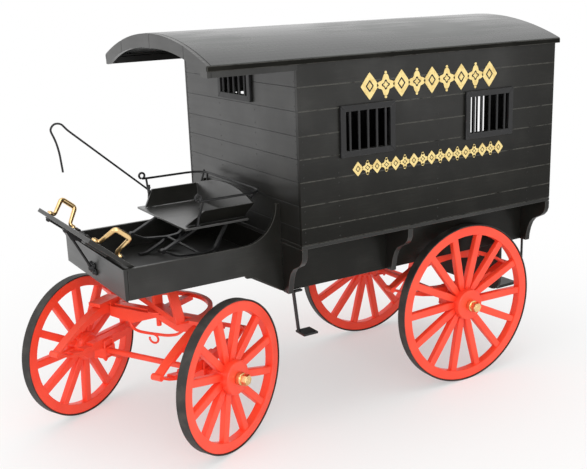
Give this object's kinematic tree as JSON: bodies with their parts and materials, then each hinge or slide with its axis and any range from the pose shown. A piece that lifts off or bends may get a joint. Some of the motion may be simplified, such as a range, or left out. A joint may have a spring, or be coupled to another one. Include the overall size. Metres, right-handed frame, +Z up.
{
  "type": "jail wagon scale model",
  "caption": "Scale model of a horse-drawn jail wagon: black barred van under an arched roof, driver's seat and toe board, red sprung running gear with a turning fore-carriage.",
  "frame": {"origin": "on the floor under the wagon, on its centre plane, midway between the front-most tyre and the tail step", "axes": "+Z up; -Y is the way the wagon drives, +Y its tail; +X is the wagon's left side"},
  "size_m": [0.2156, 0.4878, 0.3375],
  "materials": {
    "black_wood": "satin black paint over planked wood",
    "roof_cloth": "dull black over boards",
    "black_iron": "satin black",
    "red_wood": "satin red paint",
    "red_iron": "satin red paint",
    "tyre_iron": "dull blackened iron",
    "brass": "polished"
  },
  "bodies": {
    "wagon": {"body_bolster": "red_iron", "box_floor": "black_wood", "box_front": "black_wood", "bracket_left_front": "black_wood", "bracket_left_middle": "black_wood", "bracket_left_rear": "black_wood", "bracket_right_front": "black_wood", "bracket_right_middle": "black_wood", "bracket_right_rear": "black_wood", "rear_axle": "red_iron", "rear_spring_left": "red_iron", "rear_spring_right": "red_iron", "rear_step": "black_wood", "roof": "roof_cloth", "roof_fascia": "black_wood", "seat_board": "black_wood", "seat_irons": "black_iron", "seat_panels": "black_wood", "seat_rail": "black_iron", "side_board_left": "black_wood", "side_board_right": "black_wood", "step_left": "black_iron", "toe_board": "black_wood", "toe_brace": "black_iron", "toe_handle_left": "brass", "toe_handle_right": "brass", "van_floor": "black_wood", "van_front": "black_wood", "van_rear": "black_wood", "van_side_left": "black_wood", "van_side_right": "black_wood", "well": "black_wood", "whip": "black_iron", "window_front": "black_iron", "window_left_front": "black_iron", "window_left_rear": "black_iron", "window_right_front": "black_iron", "window_right_rear": "black_iron"},
    "front_gear": {"fifth_wheel": "red_iron", "front_bolster": "red_iron", "front_axle": "red_iron", "front_spring_left": "red_iron", "front_spring_right": "red_iron"},
    "wheel_front_left": {"wheel_front_left": "red_wood", "tyre_front_left": "tyre_iron", "nut_front_left": "brass"},
    "wheel_front_right": {"wheel_front_right": "red_wood", "tyre_front_right": "tyre_iron", "nut_front_right": "brass"},
    "wheel_rear_left": {"wheel_rear_left": "red_wood", "tyre_rear_left": "tyre_iron", "nut_rear_left": "brass"},
    "wheel_rear_right": {"wheel_rear_right": "red_wood", "tyre_rear_right": "tyre_iron", "nut_rear_right": "brass"},
    "door": {"rear_door": "black_wood"}
  },
  "joints": [
    {"name": "steering", "type": "hinge", "parent": "wagon", "child": "front_gear", "pos_m": [0, -0.1365, 0.106], "axis": [0, 0, 1], "range_deg": [-63.5, 6.5]},
    {"name": "spin_front_left", "type": "hinge", "parent": "front_gear", "child": "wheel_front_left", "pos_m": [0.07773, -0.10886, 0.0643], "axis": [0.8788, 0.4772, 0], "continuous": true},
    {"name": "spin_front_right", "type": "hinge", "parent": "front_gear", "child": "wheel_front_right", "pos_m": [-0.06552, -0.18664, 0.0643], "axis": [0.8788, 0.4772, 0], "continuous": true},
    {"name": "spin_rear_left", "type": "hinge", "parent": "wagon", "child": "wheel_rear_left", "pos_m": [0.0815, 0.1388, 0.0762], "axis": [1, 0, 0], "continuous": true},
    {"name": "spin_rear_right", "type": "hinge", "parent": "wagon", "child": "wheel_rear_right", "pos_m": [-0.0815, 0.1388, 0.0762], "axis": [1, 0, 0], "continuous": true},
    {"name": "door_swing", "type": "hinge", "parent": "wagon", "child": "door", "pos_m": [0.0355, 0.2269, 0.235], "axis": [0, 0, 1], "range_deg": [-110, 0]}
  ]
}
